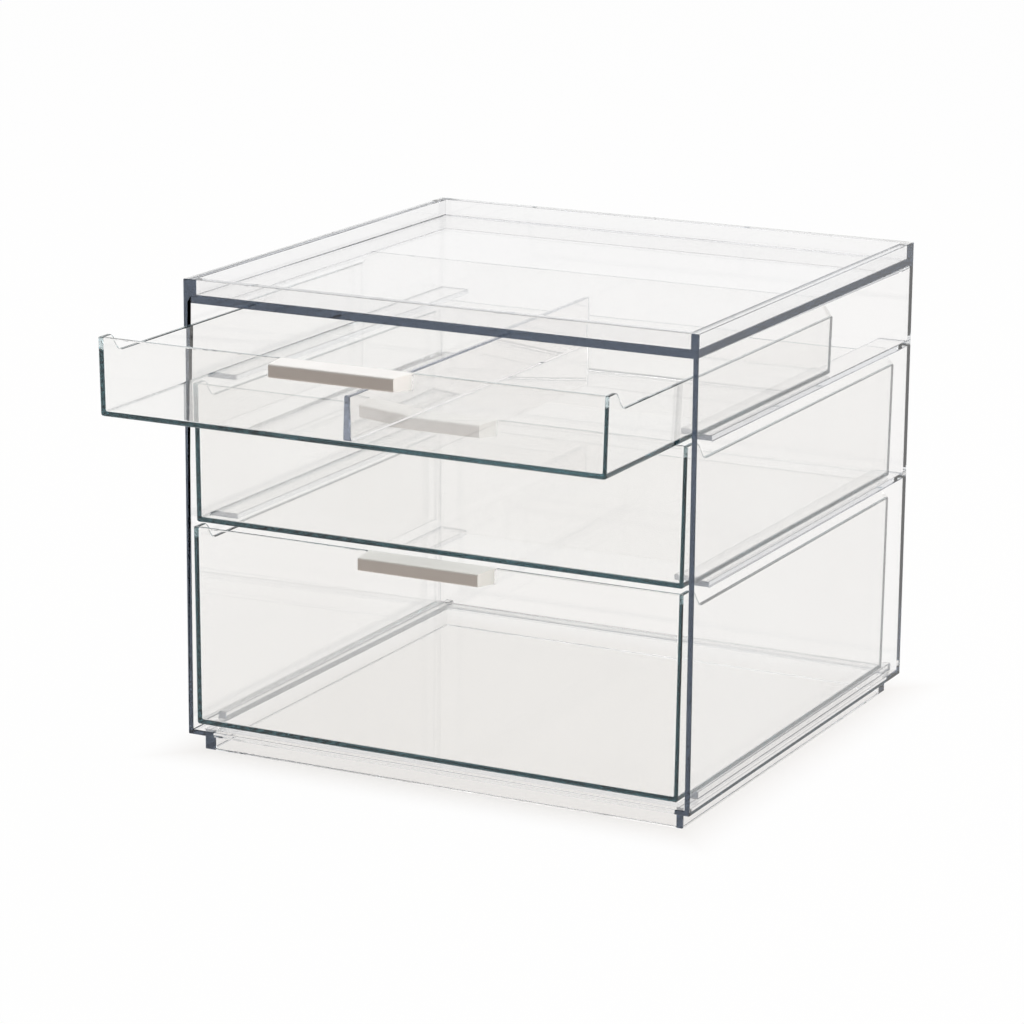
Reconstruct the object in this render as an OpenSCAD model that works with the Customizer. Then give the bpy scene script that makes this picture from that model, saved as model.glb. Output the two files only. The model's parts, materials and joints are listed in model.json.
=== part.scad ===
// Clear acrylic drawer organizer: an open-fronted case with three sliding drawers.
// The top drawer stands pulled out, the middle one is shut and the bottom one a hair proud.
// Millimetres. +Z is up, the drawers pull out towards -Y, and the origin is the middle of
// the face that the foot ring stands on.

/* [Case] */
// Width over the side walls
case_w = 255; // [180:1:360]
// Depth from the open front to the back of the back wall
case_d = 249; // [249:1:330]
// Thickness of the side walls
wall_t = 2.5; // [1.5:0.1:4]
// Thickness of the back wall
back_t = 2.5; // [1.5:0.1:4]
// Thickness of the top panel, which is the floor of the tray on top
top_t = 3.2; // [2:0.1:5]
// Thickness of the floor frame
floor_t = 2.3; // [1.5:0.1:4]

/* [Stacking rim and foot] */
// Width of the rim round the top tray
rim_w = 5; // [3:0.1:8]
// Height of the rim above the top panel
rim_h = 7.6; // [5:0.1:15]
// Thickness of the foot ring
foot_w = 4.2; // [2.5:0.1:7]
// Height of the foot ring below the case
foot_h = 8.1; // [4:0.1:12]
// Room between a foot ring and the rim that it nests in
stack_gap = 0.6; // [0.3:0.1:1.5]

/* [Rails] */
// Width of the rails that the top and middle drawers slide on
rail_w = 14.7; // [8:0.1:30]
// Thickness of the rails
rail_t = 2.5; // [1.5:0.1:4]
// Width of the floor runners that the bottom drawer slides on
runner_w = 4; // [2:0.1:7]
// Height of the floor runners above the floor frame
runner_h = 3.25; // [2:0.05:8]
// Running room between a drawer and what it slides on
slide_gap = 0.3; // [0.2:0.05:0.6]

/* [Drawers] */
// Depth of each drawer, front face to back face
drawer_d = 236; // [150:1:240]
// Room between a drawer's side at its top and the case wall
side_gap = 2.1; // [1:0.1:4]
// Height of the bottom drawer's front
bottom_h = 94.2; // [50:0.1:160]
// Height of the middle drawer's front
middle_h = 63.2; // [35:0.1:120]
// Height of the top drawer's front
top_h = 35.2; // [30:0.1:80]
// Gap between one drawer's front and the next
front_gap = 2; // [1.5:0.1:2.7]
// Gap between the top drawer's front and the top panel
top_gap = 1.3; // [0.5:0.1:4]
// Thickness of the drawer walls and floors
tray_t = 2.1; // [1.5:0.1:4]
// How much narrower a drawer is at its floor than at its top, on each side
draft = 0.8; // [0.3:0.1:2]
// Radius of a drawer's outside bottom edges
base_r = 1.5; // [0.5:0.1:4]
// Radius of a drawer's upright outside corners
corner_r = 1.6; // [0.5:0.1:3]
// Radius between the floor and the walls inside a drawer
inside_r = 1.2; // [1:0.1:6]
// How far the side walls stay below the front
side_drop = 8; // [4:0.5:14]
// How far the back wall of a drawer stays below its front
back_drop = 2.4; // [2.4:0.1:4]
// How far back the full height of the front runs along the sides
shoulder = 7.5; // [3:0.5:20]
// Length of the curve from the shoulder down to the side wall
dip_run = 9.5; // [4:0.5:20]
// Length of the curve at each end of a drawer's back wall
back_run = 6; // [3:0.5:15]

/* [Divider] */
// Thickness of the divider's top edge
divider_top_t = 2.8; // [1.5:0.1:4]
// Thickness of the divider at its foot
divider_foot_t = 4; // [3.8:0.1:6]
// Height of the divider above the drawer's floor
divider_h = 19.9; // [10:0.1:22]
// Room round the divider where it is bonded in
divider_fit = 0.1; // [0.05:0.05:0.3]

/* [Handles] */
// Width of a handle at its nose
handle_w = 60; // [30:1:100]
// How much wider a handle is at its root, on each side
handle_flare = 1.8; // [0:0.1:4]
// How far a handle reaches out from the drawer's front
handle_reach = 12.3; // [8:0.1:25]
// Height of a handle at its nose
handle_h = 6; // [3:0.1:6.5]
// Height of a handle at its root, which is the depth of its notch
handle_root_h = 6.9; // [6.5:0.1:12]
// Radius of the nose's long edges
handle_r = 1; // [0.3:0.1:1.4]
// Room round the handle's root where it is bonded into the notch
handle_fit = 0.15; // [0.05:0.05:0.3]

/* [Pose] */
// How far the top drawer stands pulled out
top_pull = 78.6; // [0:0.1:150]
// How far the bottom drawer stands proud of the case
bottom_pull = 1.5; // [0:0.1:10]

/* [Hidden] */

clear = [0.80, 0.86, 0.88, 0.45];
clear_drawer = [0.72, 0.82, 0.86, 0.5];
white = [0.93, 0.92, 0.90];

left = -1;
right = 1;
arc_fn = 64;
curve_steps = 10;
// What a cutter runs past the face it opens
past = 1;

// The case, from its own planes
front_y = -case_d / 2;
back_face_y = case_d / 2 - back_t;
inner_w = case_w - 2 * wall_t;
under_z = foot_h;
floor_z = under_z + floor_t;
foot_inset = rim_w + stack_gap;
window_w = case_w - 2 * (foot_inset + foot_w);
window_d = case_d - 2 * (foot_inset + foot_w);

// The drawers, stacked from the floor up
bottom_z = floor_z + runner_h + slide_gap;
middle_z = bottom_z + bottom_h + front_gap;
top_z = middle_z + middle_h + front_gap;
panel_z = top_z + top_h + top_gap;
rim_z = panel_z + top_t;

// The rails start behind the raised shoulders of the drawer below
rail_room = 1;
rail_front_y = front_y + shoulder + dip_run + rail_room;

drawer_w = inner_w - 2 * side_gap;
handle_root_w = handle_w + 2 * handle_flare;

module block(size, at) {
    translate(at) cube(size);
}

// Rectangle centred on the origin with true arcs at its corners
module rounded_rect(w, l, r) {
    square([w - 2 * r, l], center = true);
    square([w, l - 2 * r], center = true);
    for (x = [-1, 1], y = [-1, 1])
        translate([x * (w / 2 - r), y * (l / 2 - r)]) circle(r, $fn = arc_fn);
}

// Upright section that stands on its base and leans out on both sides, with round base edges
module leaning_section(base_half, lean, h, r) {
    tangent = r / tan(45 + lean / 2);
    side_x = base_half + tangent * sin(lean);
    side_z = tangent * cos(lean);
    top_x = base_half + h * tan(lean);
    polygon([
        [tangent - base_half, 0], [base_half - tangent, 0], [side_x, side_z],
        [top_x, h], [-top_x, h], [-side_x, side_z]
    ]);
    for (x = [-1, 1])
        translate([x * (base_half - tangent), r]) circle(r, $fn = arc_fn);
}

// An upright section drawn in X and Z, run back along Y
module run_back(from_y, length) {
    translate([0, from_y + length, 0]) rotate([90, 0, 0]) linear_extrude(length) children();
}

// An upright section drawn in Y and Z, run across along X about the middle
module run_across(width) {
    translate([-width / 2, 0, 0]) rotate([90, 0, 90]) linear_extrude(width) children();
}

// One sheet of the case, standing at either side
module side_wall(side) {
    x = side == left ? -case_w / 2 : case_w / 2 - wall_t;
    block([wall_t, case_d, rim_z - under_z], [x, front_y, under_z]);
}

module left_wall() {
    color(clear) side_wall(left);
}

module right_wall() {
    color(clear) side_wall(right);
}

module back_wall() {
    color(clear) block([inner_w, back_t, rim_z - under_z], [-inner_w / 2, back_face_y, under_z]);
}

module top_panel() {
    color(clear) block([inner_w, case_d - back_t, top_t], [-inner_w / 2, front_y, panel_z]);
}

// The floor is a ledge over the foot ring, as open inside as the ring is
module floor_frame() {
    color(clear) difference() {
        block([inner_w, case_d - back_t, floor_t], [-inner_w / 2, front_y, under_z]);
        block(
            [window_w, window_d, floor_t + 2 * past],
            [-window_w / 2, -window_d / 2, under_z - past]
        );
    }
}

// A ring that follows the case's outline, set in from it by inset
module ring(inset, w, h, z) {
    outer_w = case_w - 2 * inset;
    outer_d = case_d - 2 * inset;
    difference() {
        block([outer_w, outer_d, h], [-outer_w / 2, -outer_d / 2, z]);
        block(
            [outer_w - 2 * w, outer_d - 2 * w, h + 2 * past],
            [w - outer_w / 2, w - outer_d / 2, z - past]
        );
    }
}

module top_rim() {
    color(clear) ring(0, rim_w, rim_h, rim_z);
}

module foot_ring() {
    color(clear) ring(foot_inset, foot_w, foot_h, 0);
}

// A flat strip that runs forward from the back wall, with its outer side at outer_x
module strip(side, outer_x, w, top_face_z, t) {
    x = side == left ? -outer_x : outer_x - w;
    block([w, back_face_y - rail_front_y, t], [x, rail_front_y, top_face_z - t]);
}

module rail(side, drawer_z) {
    color(clear) strip(side, inner_w / 2, rail_w, drawer_z - slide_gap, rail_t);
}

// The runners stand along the window, where the flat underside of the bottom drawer begins
module floor_runner(side) {
    color(clear) strip(side, window_w / 2 + runner_w, runner_w, floor_z + runner_h, runner_h);
}

// Height of a smooth fall from 0 to -drop, at share t of its run
function fall(t, drop) = -drop * (1 - cos(180 * t)) / 2;

// What is cut away over the side walls, seen from the side: y runs back from the front face
module side_waste(h) {
    polygon(concat(
        [for (i = [0:curve_steps]) let (t = i / curve_steps)
            [shoulder + dip_run * t, h + fall(t, side_drop)]],
        [[drawer_d - tray_t, h - side_drop], [drawer_d - tray_t, h + past], [shoulder, h + past]]
    ));
}

// What is cut away over the back wall, seen from the front: its ends curve down to the sides
module back_waste(h) {
    half = drawer_w / 2;
    top = h - back_drop;
    end_curve = [for (i = [0:curve_steps]) let (t = i / curve_steps)
        [half - back_run + back_run * t, top + fall(t, side_drop - back_drop)]];
    right_side = concat(end_curve, [[half + past, h - side_drop], [half + past, h + past]]);
    left_side = [for (i = [len(right_side) - 1:-1:0]) [-right_side[i][0], right_side[i][1]]];
    polygon(concat(right_side, left_side));
}

// One moulded tray. Its front face is at y = 0, it runs back along +Y and stands on z = 0
module tray(h) {
    lean = atan(draft / h);
    base_half = drawer_w / 2 - draft;
    inner_half = base_half + tray_t * tan(lean) - tray_t;
    difference() {
        intersection() {
            run_back(0, drawer_d) leaning_section(base_half, lean, h, base_r);
            run_across(drawer_w)
                translate([drawer_d / 2, 0]) leaning_section(drawer_d / 2, 0, h, base_r);
            translate([0, drawer_d / 2, 0])
                linear_extrude(h) rounded_rect(drawer_w, drawer_d, corner_r);
        }
        translate([0, 0, tray_t]) intersection() {
            run_back(tray_t, drawer_d - 2 * tray_t)
                leaning_section(inner_half, lean, h, inside_r);
            run_across(drawer_w)
                translate([drawer_d / 2, 0])
                    leaning_section(drawer_d / 2 - tray_t, 0, h, inside_r);
        }
        run_across(drawer_w + 2 * past) side_waste(h);
        run_back(drawer_d - tray_t - past, tray_t + 2 * past) back_waste(h);
        block(
            [handle_root_w + 2 * handle_fit, tray_t + 2 * past, handle_root_h + handle_fit + past],
            [-handle_root_w / 2 - handle_fit, -past, h - handle_root_h - handle_fit]
        );
    }
}

// A bar handle for a tray of height h: a root that fills the notch and a nose that reaches out
module handle(h) {
    nose_y = -handle_reach;
    root_z = h - handle_root_h;
    nose_z = h - handle_h;
    intersection() {
        run_across(handle_root_w) {
            polygon([
                [tray_t, root_z], [tray_t, h], [nose_y + handle_r, h], [nose_y, h - handle_r],
                [nose_y, nose_z + handle_r], [nose_y + handle_r, nose_z], [0, root_z]
            ]);
            for (z = [nose_z + handle_r, h - handle_r])
                translate([nose_y + handle_r, z]) circle(handle_r, $fn = arc_fn);
        }
        translate([0, 0, root_z - past]) linear_extrude(handle_root_h + 2 * past) polygon([
            [-handle_w / 2, nose_y], [handle_w / 2, nose_y],
            [handle_root_w / 2, 0], [handle_root_w / 2, tray_t],
            [-handle_root_w / 2, tray_t], [-handle_root_w / 2, 0]
        ]);
    }
}

// The upright plate in the middle of the top drawer, bonded to its floor, front and back
module divider() {
    length = drawer_d - 2 * tray_t - 2 * divider_fit;
    lean = -atan((divider_foot_t - divider_top_t) / 2 / divider_h);
    intersection() {
        run_back(tray_t + divider_fit, length) polygon([
            [-divider_foot_t / 2, 0], [divider_foot_t / 2, 0],
            [divider_foot_t / 2 + divider_h * tan(lean), divider_h],
            [-divider_foot_t / 2 - divider_h * tan(lean), divider_h]
        ]);
        run_across(divider_foot_t)
            translate([drawer_d / 2, 0]) leaning_section(length / 2, 0, divider_h, inside_r);
    }
}

// Where each drawer stands
module in_top_place() {
    translate([0, front_y - top_pull, top_z]) children();
}

module in_middle_place() {
    translate([0, front_y, middle_z]) children();
}

module in_bottom_place() {
    translate([0, front_y - bottom_pull, bottom_z]) children();
}

module top_drawer_tray() {
    color(clear_drawer) in_top_place() tray(top_h);
}

module middle_drawer_tray() {
    color(clear_drawer) in_middle_place() tray(middle_h);
}

module bottom_drawer_tray() {
    color(clear_drawer) in_bottom_place() tray(bottom_h);
}

module top_drawer_divider() {
    color(clear_drawer) in_top_place() translate([0, 0, tray_t + divider_fit]) divider();
}

module top_drawer_handle() {
    color(white) in_top_place() handle(top_h);
}

module middle_drawer_handle() {
    color(white) in_middle_place() handle(middle_h);
}

module bottom_drawer_handle() {
    color(white) in_bottom_place() handle(bottom_h);
}

left_wall();
right_wall();
back_wall();
top_panel();
floor_frame();
top_rim();
foot_ring();
rail(left, top_z);  // upper_left_rail
rail(right, top_z);  // upper_right_rail
rail(left, middle_z);  // lower_left_rail
rail(right, middle_z);  // lower_right_rail
floor_runner(left);  // left_floor_runner
floor_runner(right);  // right_floor_runner
top_drawer_tray();
middle_drawer_tray();
bottom_drawer_tray();
top_drawer_divider();
top_drawer_handle();
middle_drawer_handle();
bottom_drawer_handle();
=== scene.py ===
import json
import math

import bmesh
import bpy
from mathutils import Matrix, Vector

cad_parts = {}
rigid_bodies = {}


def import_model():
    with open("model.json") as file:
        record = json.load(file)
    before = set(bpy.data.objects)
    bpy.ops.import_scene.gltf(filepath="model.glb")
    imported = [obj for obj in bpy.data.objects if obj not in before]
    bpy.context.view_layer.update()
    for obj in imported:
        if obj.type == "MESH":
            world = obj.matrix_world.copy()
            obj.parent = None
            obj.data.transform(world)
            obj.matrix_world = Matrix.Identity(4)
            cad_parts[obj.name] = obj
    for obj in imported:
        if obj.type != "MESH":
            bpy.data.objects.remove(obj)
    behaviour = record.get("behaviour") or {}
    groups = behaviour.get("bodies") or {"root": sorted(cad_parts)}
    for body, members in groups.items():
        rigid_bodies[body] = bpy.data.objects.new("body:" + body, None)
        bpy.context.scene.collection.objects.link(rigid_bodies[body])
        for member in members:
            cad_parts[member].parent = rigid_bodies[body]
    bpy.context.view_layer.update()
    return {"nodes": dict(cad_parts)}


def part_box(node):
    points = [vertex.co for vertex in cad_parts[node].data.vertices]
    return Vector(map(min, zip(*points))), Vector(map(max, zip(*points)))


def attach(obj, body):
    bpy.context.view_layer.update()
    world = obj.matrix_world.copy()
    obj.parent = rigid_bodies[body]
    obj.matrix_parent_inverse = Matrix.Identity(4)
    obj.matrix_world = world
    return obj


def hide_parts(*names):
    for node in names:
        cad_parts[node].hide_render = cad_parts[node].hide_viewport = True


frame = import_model()
nodes = frame["nodes"]
scene = bpy.context.scene
CASE = sorted(name for name in nodes if "drawer" not in name)
TRAYS = sorted(name for name in nodes if name.endswith("_tray"))
# The visible piece that stands for each CAD node
looks = {}


# ---------------------------------------------------------------- camera
# The photograph's view, from a fit of the case's corners to the picture.
AZIMUTH, ELEVATION, ROLL = 26.817, 14.262, 0.484
CAMERA_AT = (0.7953, -1.6193, 0.5603)
LENS, SENSOR, CLIP_END = 138.81, 36, 50


def make_camera():
    az, el, roll = (math.radians(v) for v in (AZIMUTH, ELEVATION, ROLL))
    ahead = Vector((-math.sin(az) * math.cos(el), math.cos(az) * math.cos(el), -math.sin(el)))
    right = Vector((math.cos(az), math.sin(az), 0))
    up = right.cross(ahead)
    across = right * math.cos(roll) + up * math.sin(roll)
    upward = up * math.cos(roll) - right * math.sin(roll)
    turn = Matrix((across, upward, -ahead)).transposed().to_4x4()
    data = bpy.data.cameras.new("camera")
    data.sensor_width = SENSOR
    data.lens = LENS
    data.clip_end = CLIP_END
    camera = bpy.data.objects.new("camera", data)
    scene.collection.objects.link(camera)
    camera.matrix_world = Matrix.Translation(CAMERA_AT) @ turn
    scene.camera = camera


# ---------------------------------------------------------------- the case
# Bonded plastic is one clear body, so the case is made as one shell from the CAD solids, gets
# small round edges, and is then parted again into the pieces that it is bonded from. Each
# face where two pieces meet carries BOND, which its material lets light through unbent. The
# lowest strip of the side walls' outer faces carries a mark that its material paints near
# black: a painted shade for the dark line seen along the foot of each clear side wall.
MM = 1000.0
EDGE_R, EDGE_STEPS = 0.35, 3
FILLET_R, FILLET_STEPS = 1.5, 6
# Height, in millimetres, of the strip at the foot of the side walls that is painted dark as shade
PAINTED_SHADE_H = 1.8
# How far each piece stops short of the plane where it meets its neighbour
SEAM_GAP = 0.001
BOND, PAINTED_SHADE = "bond", "painted_shade"
# Lengths in millimetres under which points count as one, and as lying on a plane
WELD, ON_PLANE = 1e-3, 1e-5
# The angles below which two faces become one, and above which the edge between them is rounded
FLAT, SHARP = 0.01, math.radians(35)
# How far past its round edges a piece is parted, and how far a rail's part reaches above and
# below the rail
PART_CLEAR, RAIL_REACH = 0.1, 3.0


def welded(name):
    """A CAD node's mesh in millimetres, with its corners joined."""
    bm = bmesh.new()
    bm.from_mesh(nodes[name].data)
    bmesh.ops.remove_doubles(bm, verts=bm.verts, dist=WELD / MM)
    for vert in bm.verts:
        vert.co *= MM
    return bm


def scratch_object(name, bm):
    mesh = bpy.data.meshes.new("scratch_" + name)
    bm.to_mesh(mesh)
    bm.free()
    return bpy.data.objects.new("scratch_" + name, mesh)


def make_piece(bm, name, body):
    """A mesh in millimetres becomes the visible piece of a CAD node."""
    bmesh.ops.recalc_face_normals(bm, faces=bm.faces)
    for face in bm.faces:
        face.smooth = False
    for vert in bm.verts:
        vert.co /= MM
    mesh = bpy.data.meshes.new(name + "_look")
    bm.to_mesh(mesh)
    bm.free()
    piece = bpy.data.objects.new(name + "_look", mesh)
    scene.collection.objects.link(piece)
    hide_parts(name)
    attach(piece, body)
    looks[name] = piece


def join_flat_faces(bm):
    bmesh.ops.dissolve_limit(bm, angle_limit=FLAT, verts=bm.verts, edges=bm.edges)
    bm.normal_update()


def union(names):
    """One closed mesh in millimetres of several CAD nodes that touch."""
    first = scratch_object(names[0], welded(names[0]))
    scene.collection.objects.link(first)
    others = bpy.data.collections.new("scratch")
    scene.collection.children.link(others)
    for name in names[1:]:
        others.objects.link(scratch_object(name, welded(name)))
    join = first.modifiers.new("join", "BOOLEAN")
    join.operation, join.operand_type, join.collection = "UNION", "COLLECTION", others
    join.solver = "MANIFOLD"
    evaluated = first.evaluated_get(bpy.context.evaluated_depsgraph_get())
    bm = bmesh.new()
    bm.from_mesh(evaluated.to_mesh())
    evaluated.to_mesh_clear()
    for piece in [first, *others.objects]:
        mesh = piece.data
        bpy.data.objects.remove(piece)
        bpy.data.meshes.remove(mesh)
    bpy.data.collections.remove(others)
    bmesh.ops.remove_doubles(bm, verts=bm.verts, dist=WELD)
    bm.normal_update()
    join_flat_faces(bm)
    return bm


def round_edges(bm, edges, radius, segments):
    bmesh.ops.bevel(bm, geom=edges, offset=radius, offset_type="OFFSET", segments=segments,
                    profile=0.5, affect="EDGES", clamp_overlap=False)
    bm.normal_update()


def sharp_edges(bm):
    return [edge for edge in bm.edges if len(edge.link_faces) == 2
            and edge.calc_face_angle() > SHARP]


def clip(bm, axis, at, sign):
    """Cuts away what lies beyond a plane and closes the cut with faces marked BOND."""
    point, normal = Vector((0, 0, 0)), Vector((0, 0, 0))
    point[axis], normal[axis] = at, sign
    cut = bmesh.ops.bisect_plane(bm, geom=[*bm.verts, *bm.edges, *bm.faces], dist=ON_PLANE,
                                 plane_co=point, plane_no=normal, clear_outer=True)
    rim = [part for part in cut["geom_cut"] if isinstance(part, bmesh.types.BMEdge)]
    filled = bmesh.ops.triangle_fill(bm, use_beauty=True, use_dissolve=False, edges=rim,
                                     normal=normal)
    bond = bm.faces.layers.float[BOND]
    for part in filled["geom"]:
        if isinstance(part, bmesh.types.BMFace):
            part[bond] = 1.0


def case_regions():
    """The part of the case that each piece takes: its lowest and highest x, y and z, or None."""
    box = {name: [Vector(corner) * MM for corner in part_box(name)] for name in CASE}
    past_edge = EDGE_R + PART_CLEAR
    side = box["left_wall"][1].x + FILLET_R + PART_CLEAR
    back = box["back_wall"][0].y - past_edge
    foot = box["foot_ring"][1].z - past_edge
    floor_top = box["floor_frame"][1].z + past_edge
    under_top = box["top_panel"][0].z - past_edge
    rim = box["top_panel"][1].z + past_edge
    upright = (foot, rim)
    across = (side, -side)
    inner = (None, back)
    regions = {
        "left_wall": ((None, side), (None, None), upright),
        "right_wall": ((-side, None), (None, None), upright),
        "back_wall": (across, (back, None), upright),
        "top_panel": (across, inner, (under_top, rim)),
        "floor_frame": (across, inner, (foot, floor_top)),
        "top_rim": ((None, None), (None, None), (rim, None)),
        "foot_ring": ((None, None), (None, None), (None, foot)),
    }
    for name in CASE:
        if name not in regions:
            low, high = box[name]
            middle = (low.x + high.x) / 2
            span = (side, 0) if middle < 0 else (0, -side)
            lowest = floor_top if "runner" in name else low.z - RAIL_REACH
            regions[name] = (span, inner, (lowest, high.z + RAIL_REACH))
    return regions


def make_case():
    """The shell gets its round edges and its strip marked for painted shade before it is parted.
    """
    shell = union(CASE)
    for mark in (BOND, PAINTED_SHADE):
        shell.faces.layers.float.new(mark)
    under_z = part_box("top_panel")[0][2] * MM
    wall_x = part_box("right_wall")[0][0] * MM
    under_top = [edge for edge in shell.edges
                 if all(abs(v.co.z - under_z) < WELD and abs(abs(v.co.x) - wall_x) < WELD
                        for v in edge.verts)]
    round_edges(shell, under_top, FILLET_R, FILLET_STEPS)
    # The strip at the foot of the side walls' outer faces is marked for a near-black painted
    # shade.
    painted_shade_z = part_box("foot_ring")[1][2] * MM + PAINTED_SHADE_H
    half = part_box("right_wall")[1][0] * MM
    outside = [face for face in shell.faces
               if abs(abs(face.calc_center_median().x) - half) < WELD]
    outside_edges = {edge for face in outside for edge in face.edges}
    outside_verts = {vert for face in outside for vert in face.verts}
    bmesh.ops.bisect_plane(shell, geom=[*outside_verts, *outside_edges, *outside],
                           dist=ON_PLANE, plane_co=(0, 0, painted_shade_z), plane_no=(0, 0, 1))
    round_edges(shell, sharp_edges(shell), EDGE_R, EDGE_STEPS)
    painted_shade = shell.faces.layers.float[PAINTED_SHADE]
    for face in shell.faces:
        middle = face.calc_center_median()
        if abs(middle.x) > half - EDGE_R and middle.z < painted_shade_z:
            face[painted_shade] = 1.0
    for name, region in case_regions().items():
        bm = shell.copy()
        for axis, (low, high) in enumerate(region):
            if low is not None:
                clip(bm, axis, low + SEAM_GAP, -1)
            if high is not None:
                clip(bm, axis, high - SEAM_GAP, 1)
        make_piece(bm, name, "case")
    shell.free()


# ---------------------------------------------------------------- the drawers
# A tray is one moulding, so its look is one skin: a row of points runs round it at each step of
# its section, from the flat underside up the outside, over the lip and down the inside.
TRAY_T = 2.1
DRAFT = 0.8
BASE_R, BASE_STEPS = 1.2, 8
INSIDE_R, INSIDE_STEPS = 0.6, 10
LIP_R, LIP_STEPS = 0.5, 4
CORNER_R, INNER_CORNER_R, CORNER_STEPS = 1.2, 0.5, 6
PLATE_R, PLATE_STEPS = 0.9, 6
SHOULDER, DIP_RUN, SIDE_DROP, DIP_STEPS = 7.5, 9.5, 8.0, 14
BACK_DROP, BACK_RUN, BACK_STEPS = 2.4, 6.0, 5
NOTCH_HALF = 31.95
# How far the notch's sides and their round top corners stand out from NOTCH_HALF, and the
# depth below the lip there
NOTCH_SIDE = ((0.0, 7.05), (0.12, 1.0), (0.25, 0.45), (0.5, 0.12), (0.9, 0.0))
# Out to here, the places along the front and back keep their x at every step of the section
FIXED_HALF = 100.0


def arc(steps):
    """Angles from 0 to a right angle."""
    return [math.pi / 2 * step / steps for step in range(steps + 1)]


def smooth_fall(share, drop):
    return -drop * (1 - math.cos(math.pi * min(max(share, 0), 1))) / 2


def tray_section():
    """The section: how far in from the outside, the height, and if that is from the lip."""
    rows = [(BASE_R * (1 - math.sin(a)), BASE_R * (1 - math.cos(a)), False)
            for a in arc(BASE_STEPS)]
    rows += [(LIP_R * (1 - math.cos(a)), LIP_R * (math.sin(a) - 1), True)
             for a in arc(LIP_STEPS)]
    rows += [(TRAY_T - LIP_R * (1 - math.cos(a)), LIP_R * (math.sin(a) - 1), True)
             for a in reversed(arc(LIP_STEPS))]
    rows += [(TRAY_T + INSIDE_R * (1 - math.cos(a)), TRAY_T + INSIDE_R * (1 - math.sin(a)), False)
             for a in arc(INSIDE_STEPS)]
    return rows


def tray_stations(half_w, height):
    """Places round the tray: a side or corner, where on it, and the lip's height there."""
    straight = half_w - CORNER_R
    across = [NOTCH_HALF + out for out, _ in NOTCH_SIDE]
    depths = [deep for _, deep in NOTCH_SIDE]
    front = sorted([(x, height - d) for x, d in zip(across, depths)]
                   + [(-x, height - d) for x, d in zip(across, depths)])
    dips = [SHOULDER + DIP_RUN * step / DIP_STEPS for step in range(DIP_STEPS + 1)]
    side = [(y, height + smooth_fall((y - SHOULDER) / DIP_RUN, SIDE_DROP)) for y in dips]
    ends = [half_w - BACK_RUN + (straight - half_w + BACK_RUN) * step / BACK_STEPS
            for step in range(BACK_STEPS)]

    def back_lip(x):
        share = (abs(x) - half_w + BACK_RUN) / BACK_RUN
        return height - BACK_DROP + smooth_fall(share, SIDE_DROP - BACK_DROP)

    def back_corner_lip(angle):
        inset = CORNER_R * (1 - math.cos(angle))
        return back_lip(half_w - inset)

    places = [("front", x, lip) for x, lip in front]
    places += [("corner", (1, -1, a), height) for a in reversed(arc(CORNER_STEPS))]
    places += [("right", y, lip) for y, lip in side]
    places += [("corner", (1, 1, a), back_corner_lip(a)) for a in arc(CORNER_STEPS)]
    places += [("back", x, back_lip(x)) for x in reversed(ends)]
    places += [("back", -x, back_lip(x)) for x in ends]
    places += [("corner", (-1, 1, a), back_corner_lip(a)) for a in reversed(arc(CORNER_STEPS))]
    places += [("left", y, lip) for y, lip in reversed(side)]
    places += [("corner", (-1, -1, a), height) for a in arc(CORNER_STEPS)]
    return places


def tray_point(place, half_w, depth, inset):
    """Where a place lies on the outline that is set in by inset. y runs back from the front."""
    kind, at, _ = place
    radius = max(CORNER_R - inset, INNER_CORNER_R)
    x, front, back = half_w - inset, inset, depth - inset
    if kind == "corner":
        sign_x, sign_y, angle = at
        middle_y = front + radius if sign_y < 0 else back - radius
        return (sign_x * (x - radius + radius * math.cos(angle)),
                middle_y + sign_y * radius * math.sin(angle))
    if kind in ("front", "back"):
        end, outer_end = x - radius, half_w - CORNER_R
        if abs(at) > FIXED_HALF:
            share = (abs(at) - FIXED_HALF) / (outer_end - FIXED_HALF)
            at = math.copysign(FIXED_HALF + share * (end - FIXED_HALF), at)
        return at, front if kind == "front" else back
    return (x if kind == "right" else -x), at


def make_trays():
    """The trays lean outwards to their lips, so the outline widens with the height."""
    for name in TRAYS:
        low, high = (Vector(corner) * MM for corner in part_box(name))
        depth, height = high.y - low.y, high.z - low.z
        half_top = (high.x - low.x) / 2
        bm = bmesh.new()
        rows = []
        places = tray_stations(half_top, height)
        for inset, z, from_lip in tray_section():
            row = []
            for place in places:
                level = place[2] + z if from_lip else z
                half_w = half_top - DRAFT * (1 - level / height)
                x, y = tray_point(place, half_w, depth, inset)
                row.append(bm.verts.new((x, low.y + y, low.z + level)))
            rows.append(row)
        for under, over in zip(rows, rows[1:]):
            for step in range(len(places)):
                after = (step + 1) % len(places)
                bm.faces.new((under[step], under[after], over[after], over[step]))
        bm.faces.new(reversed(rows[0]))
        bm.faces.new(rows[-1])
        make_piece(bm, name, name.removesuffix("_tray"))


def make_divider():
    name = "top_drawer_divider"
    bm = welded(name)
    join_flat_faces(bm)
    foot_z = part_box(name)[0][2] * MM
    upper = [edge for edge in sharp_edges(bm)
             if all(vert.co.z > foot_z + WELD for vert in edge.verts)]
    round_edges(bm, upper, PLATE_R, PLATE_STEPS)
    make_piece(bm, name, "top_drawer")


# ---------------------------------------------------------------- materials
# For each clear plastic: the two tints that its faces run between, and then the colour and the
# density, per metre, of what light loses on its way through the plastic
CLEAR = {
    "case_clear": ((0.990, 0.980, 0.971), (0.997, 0.989, 0.981), (0.16, 0.24, 0.35), 12.0),
    "drawer_clear": ((0.991, 0.978, 0.969), (0.998, 0.987, 0.979), (0.33, 0.50, 0.53), 19.0),
    "divider_clear": ((0.991, 0.978, 0.969), (0.998, 0.987, 0.979), (0.30, 0.38, 0.52), 8.0),
}
PLASTIC_IOR = 1.49
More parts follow.
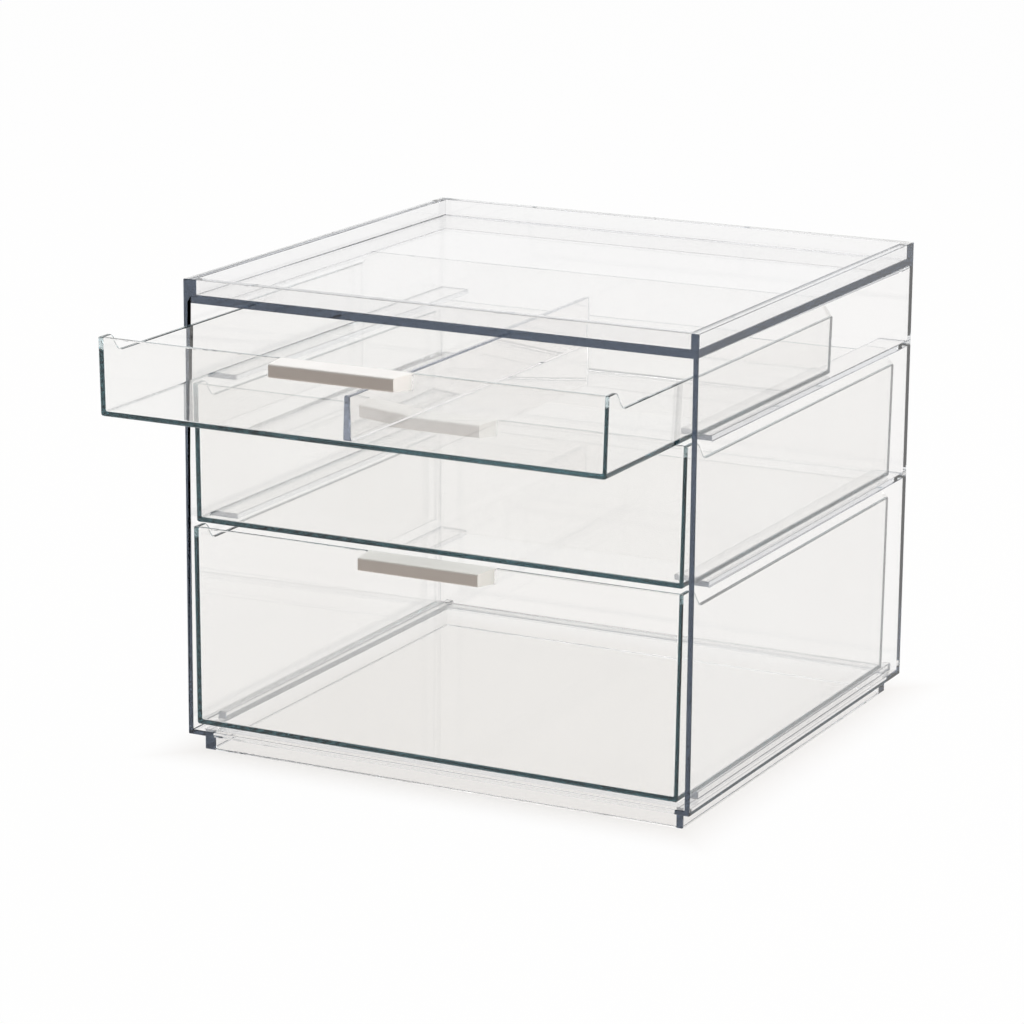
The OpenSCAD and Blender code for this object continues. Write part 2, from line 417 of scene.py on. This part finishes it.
# What is left of lamp light that goes through a sheet
LAMP_TINT = (0.985, 0.985, 0.98)
WHITE = (1, 1, 1)
# Near-black painted shade for the strip at the foot of the case's side walls, standing in for the
# dark line seen along the sheet
PAINTED_SHADE_TINT = (0.001, 0.003, 0.005)
HANDLE_TINTS = (0.80, 0.79, 0.772), (0.84, 0.832, 0.814)
# The part of the noise's range that is drawn out to the full range of a tint or a roughness
NOISE_LOW, NOISE_HIGH = 0.3, 0.7
# Noise features per metre, and how much finer detail they have
CLEAR_TINT_NOISE, CLEAR_GLOSS_NOISE, CLEAR_WAVES = (9.0, 0.0), (70.0, 0.0), (22.0, 0.0)
WHITE_TINT_NOISE, WHITE_GLOSS_NOISE, WHITE_GRAIN = (60.0, 2.0), (900.0, 3.0), (1500.0, 2.0)
CLEAR_ROUGHNESS, WHITE_ROUGHNESS = (0.0, 0.01), (0.32, 0.42)
BUMP_STRENGTH = 0.15
CLEAR_BUMP, WHITE_BUMP = 0.0002, 0.0001


def new_material(name):
    material = bpy.data.materials.new(name)
    material.use_nodes = True
    return material, material.node_tree, material.node_tree.nodes["Principled BSDF"]


def add(tree, kind, **values):
    """A new node with its settings, and with its inputs, whose names here have _ for a space."""
    node = tree.nodes.new(kind)
    for key, value in values.items():
        if hasattr(node, key):
            setattr(node, key, value)
        else:
            node.inputs[key.replace("_", " ")].default_value = value
    return node


def noise(tree, scale, detail):
    """Noise in the object's own metres, which ride with the piece."""
    place = add(tree, "ShaderNodeTexCoord")
    texture = add(tree, "ShaderNodeTexNoise", Scale=scale, Detail=detail)
    tree.links.new(place.outputs["Object"], texture.inputs["Vector"])
    return texture.outputs["Fac"]


def between(tree, factor, low, high):
    scale = add(tree, "ShaderNodeMapRange", From_Min=NOISE_LOW, From_Max=NOISE_HIGH,
                To_Min=low, To_Max=high)
    tree.links.new(factor, scale.inputs["Value"])
    return scale.outputs[0]


def colours(tree, factor, low, high):
    ramp = add(tree, "ShaderNodeValToRGB")
    for stop, at, colour in zip(ramp.color_ramp.elements, (NOISE_LOW, NOISE_HIGH), (low, high)):
        stop.position = at
        stop.color = (*colour, 1)
    tree.links.new(factor, ramp.inputs[0])
    return ramp.outputs[0]


def bump_into(tree, shader, grain, height):
    bump = add(tree, "ShaderNodeBump", Strength=BUMP_STRENGTH, Distance=height)
    tree.links.new(noise(tree, *grain), bump.inputs["Height"])
    tree.links.new(bump.outputs[0], shader.inputs["Normal"])


def combine(tree, operation, first, second):
    node = add(tree, "ShaderNodeMath", operation=operation)
    tree.links.new(first, node.inputs[0])
    tree.links.new(second, node.inputs[1])
    return node.outputs[0]


def where_marked(tree, mark, colour):
    """A colour mix that turns to the given colour on the faces that carry the mark."""
    marked = add(tree, "ShaderNodeAttribute", attribute_name=mark)
    mix = add(tree, "ShaderNodeMix", data_type="RGBA")
    mix.inputs["B"].default_value = (*colour, 1)
    tree.links.new(marked.outputs["Fac"], mix.inputs["Factor"])
    return marked.outputs["Fac"], mix


def clear_plastic(name, bonded=False):
    """Polished moulded plastic: pale on its faces, and dark where one looks along a sheet; when
    bonded, also a painted shade on the strip at the foot of the case's side walls.
    """
    low, high, through, density = CLEAR[name]
    material, tree, shader = new_material(name)
    tint = colours(tree, noise(tree, *CLEAR_TINT_NOISE), low, high)
    # On the case, the marked strip at the foot of the side walls is painted near black as shade.
    if bonded:
        _, shade = where_marked(tree, PAINTED_SHADE, PAINTED_SHADE_TINT)
        tree.links.new(tint, shade.inputs["A"])
        tint = shade.outputs["Result"]
    tree.links.new(tint, shader.inputs["Base Color"])
    gloss = between(tree, noise(tree, *CLEAR_GLOSS_NOISE), *CLEAR_ROUGHNESS)
    tree.links.new(gloss, shader.inputs["Roughness"])
    shader.inputs["Transmission Weight"].default_value = 1
    shader.inputs["IOR"].default_value = PLASTIC_IOR
    bump_into(tree, shader, CLEAR_WAVES, CLEAR_BUMP)

    # Light from the lamps and off the floor goes straight through, and leaves only a soft shadow.
    path = add(tree, "ShaderNodeLightPath")
    straight = combine(tree, "MAXIMUM", path.outputs["Is Shadow Ray"],
                       path.outputs["Is Diffuse Ray"])
    film = add(tree, "ShaderNodeBsdfTransparent", Color=(*LAMP_TINT, 1))
    if bonded:
        bond, seam = where_marked(tree, BOND, WHITE)
        seam.inputs["A"].default_value = (*LAMP_TINT, 1)
        tree.links.new(seam.outputs["Result"], film.inputs["Color"])
        straight = combine(tree, "MAXIMUM", straight, bond)
    mix = add(tree, "ShaderNodeMixShader")
    tree.links.new(straight, mix.inputs[0])
    tree.links.new(shader.outputs[0], mix.inputs[1])
    tree.links.new(film.outputs[0], mix.inputs[2])
    output = tree.nodes["Material Output"]
    tree.links.new(mix.outputs[0], output.inputs["Surface"])

    body = add(tree, "ShaderNodeVolumeAbsorption", Color=(*through, 1), Density=density)
    tree.links.new(body.outputs[0], output.inputs["Volume"])
    return material


def white_plastic(name):
    material, tree, shader = new_material(name)
    tint = colours(tree, noise(tree, *WHITE_TINT_NOISE), *HANDLE_TINTS)
    tree.links.new(tint, shader.inputs["Base Color"])
    gloss = between(tree, noise(tree, *WHITE_GLOSS_NOISE), *WHITE_ROUGHNESS)
    tree.links.new(gloss, shader.inputs["Roughness"])
    bump_into(tree, shader, WHITE_GRAIN, WHITE_BUMP)
    return material


def dress():
    case = clear_plastic("case_clear", bonded=True)
    drawer = clear_plastic("drawer_clear")
    divider = clear_plastic("divider_clear")
    white = white_plastic("handle_white")
    for name, piece in nodes.items():
        finish = white if "handle" in name else drawer if "drawer" in name else case
        if name == "top_drawer_divider":
            finish = divider
        piece.data.materials.clear()
        piece.data.materials.append(finish)
        if name in looks:
            looks[name].data.materials.append(finish)


# ---------------------------------------------------------------- floor and light
FLOOR_HALF, FLOOR_LOW = 6.0, -0.0002
FLOOR_TINT = (0.60, 0.53, 0.48)
FLOOR_ROUGHNESS = 0.9
# How much of the floor is plain white under the object and beside it, and the distances from
# the middle between which the one turns into the other. Less white under the object paints the
# floor darker there: a painted shadow, laid over the real shadow that the floor's lit part keeps.
SHARE_UNDER, SHARE_BESIDE = 0.68, 0.985
UNDER_TO, BESIDE_FROM = 0.11, 0.15
# The heights in the sky, as shares of straight up, between which its white turns dark
DARK_FROM, DARK_TO = 0.33, 0.46
DARK = (0.06, 0.08, 0.11)
# The light that comes from all round
FILL_TINT, FILL_STRENGTH = (1, 0.89, 0.82), 0.19
# Each lamp's place, its width in metres and its watts
LAMPS = {
    "overhead": ((0.0, 0.35, 1.9), 2.0, 34.0),
    "right_side": ((1.9, 0.3, 0.8), 1.2, 31.0),
    "left_side": ((-1.9, 0.5, 0.9), 1.2, 10.0),
}
# The point that the lamps are aimed at
LIT = (0, 0, 0.1)


def make_floor():
    mesh = bpy.data.meshes.new("floor")
    far, low = FLOOR_HALF, FLOOR_LOW
    corners = [(-far, -far, low), (far, -far, low), (far, far, low), (-far, far, low)]
    mesh.from_pydata(corners, [], [(0, 1, 2, 3)])
    floor = bpy.data.objects.new("floor", mesh)
    scene.collection.objects.link(floor)
    material, tree, shader = new_material("floor")
    shader.inputs["Base Color"].default_value = (*FLOOR_TINT, 1)
    shader.inputs["Roughness"].default_value = FLOOR_ROUGHNESS
    shader.inputs["Specular IOR Level"].default_value = 0
    glow = add(tree, "ShaderNodeEmission")
    mix = add(tree, "ShaderNodeMixShader")
    seen = combine(tree, "MULTIPLY", background_rays(tree), white_share(tree))
    tree.links.new(seen, mix.inputs[0])
    tree.links.new(shader.outputs[0], mix.inputs[1])
    tree.links.new(glow.outputs[0], mix.inputs[2])
    tree.links.new(mix.outputs[0], tree.nodes["Material Output"].inputs["Surface"])
    mesh.materials.append(material)


def white_share(tree):
    """The floor's white: less of it under the object, as a painted shadow there, all of it from a
    short way beside it.
    """
    place = add(tree, "ShaderNodeNewGeometry")
    apart = add(tree, "ShaderNodeSeparateXYZ")
    tree.links.new(place.outputs["Position"], apart.inputs[0])
    sizes = []
    for axis in "XY":
        size = add(tree, "ShaderNodeMath", operation="ABSOLUTE")
        tree.links.new(apart.outputs[axis], size.inputs[0])
        sizes.append(size.outputs[0])
    far = add(tree, "ShaderNodeMapRange", interpolation_type="SMOOTHSTEP",
              From_Min=UNDER_TO, From_Max=BESIDE_FROM, To_Min=SHARE_UNDER, To_Max=SHARE_BESIDE)
    tree.links.new(combine(tree, "MAXIMUM", *sizes), far.inputs["Value"])
    return far.outputs[0]


def background_rays(tree):
    """1 for camera, glossy and transmission rays."""
    path = add(tree, "ShaderNodeLightPath")
    total = path.outputs["Is Camera Ray"]
    for name in ("Is Glossy Ray", "Is Transmission Ray"):
        total = combine(tree, "MAXIMUM", total, path.outputs[name])
    return total


def ceiling(tree):
    """White all round, but dark overhead, which only bent and reflected rays reach."""
    place = add(tree, "ShaderNodeTexCoord")
    apart = add(tree, "ShaderNodeSeparateXYZ")
    tree.links.new(place.outputs["Generated"], apart.inputs[0])
    height = add(tree, "ShaderNodeMapRange", interpolation_type="SMOOTHSTEP",
                 From_Min=DARK_FROM, From_Max=DARK_TO)
    tree.links.new(apart.outputs["Z"], height.inputs["Value"])
    path = add(tree, "ShaderNodeLightPath")
    unseen = add(tree, "ShaderNodeMath", operation="SUBTRACT")
    unseen.inputs[0].default_value = 1
    tree.links.new(path.outputs["Is Camera Ray"], unseen.inputs[1])
    mix = add(tree, "ShaderNodeMix", data_type="RGBA")
    mix.inputs["A"].default_value = (*WHITE, 1)
    mix.inputs["B"].default_value = (*DARK, 1)
    share = combine(tree, "MULTIPLY", height.outputs[0], unseen.outputs[0])
    tree.links.new(share, mix.inputs["Factor"])
    return mix.outputs["Result"]


def make_world():
    world = bpy.data.worlds.new("world")
    scene.world = world
    world.use_nodes = True
    tree = world.node_tree
    fill = tree.nodes["Background"]
    fill.inputs["Color"].default_value = (*FILL_TINT, 1)
    fill.inputs["Strength"].default_value = FILL_STRENGTH
    white = add(tree, "ShaderNodeBackground", Strength=1)
    tree.links.new(ceiling(tree), white.inputs["Color"])
    mix = add(tree, "ShaderNodeMixShader")
    tree.links.new(background_rays(tree), mix.inputs[0])
    tree.links.new(fill.outputs[0], mix.inputs[1])
    tree.links.new(white.outputs[0], mix.inputs[2])
    tree.links.new(mix.outputs[0], tree.nodes["World Output"].inputs["Surface"])


def make_lights():
    for name, (place, width, watts) in LAMPS.items():
        data = bpy.data.lights.new(name, "AREA")
        data.shape = "RECTANGLE"
        data.size = data.size_y = width
        data.energy = watts
        light = bpy.data.objects.new(name, data)
        scene.collection.objects.link(light)
        light.location = place
        aim = Vector(LIT) - Vector(place)
        light.rotation_euler = aim.to_track_quat("-Z", "Y").to_euler()


make_camera()
make_case()
make_trays()
make_divider()
dress()
make_floor()
make_world()
make_lights()

scene.view_settings.view_transform = "Standard"
cycles = scene.cycles
cycles.max_bounces = 64
cycles.transmission_bounces = 32
cycles.glossy_bounces = 64
cycles.transparent_max_bounces = 40
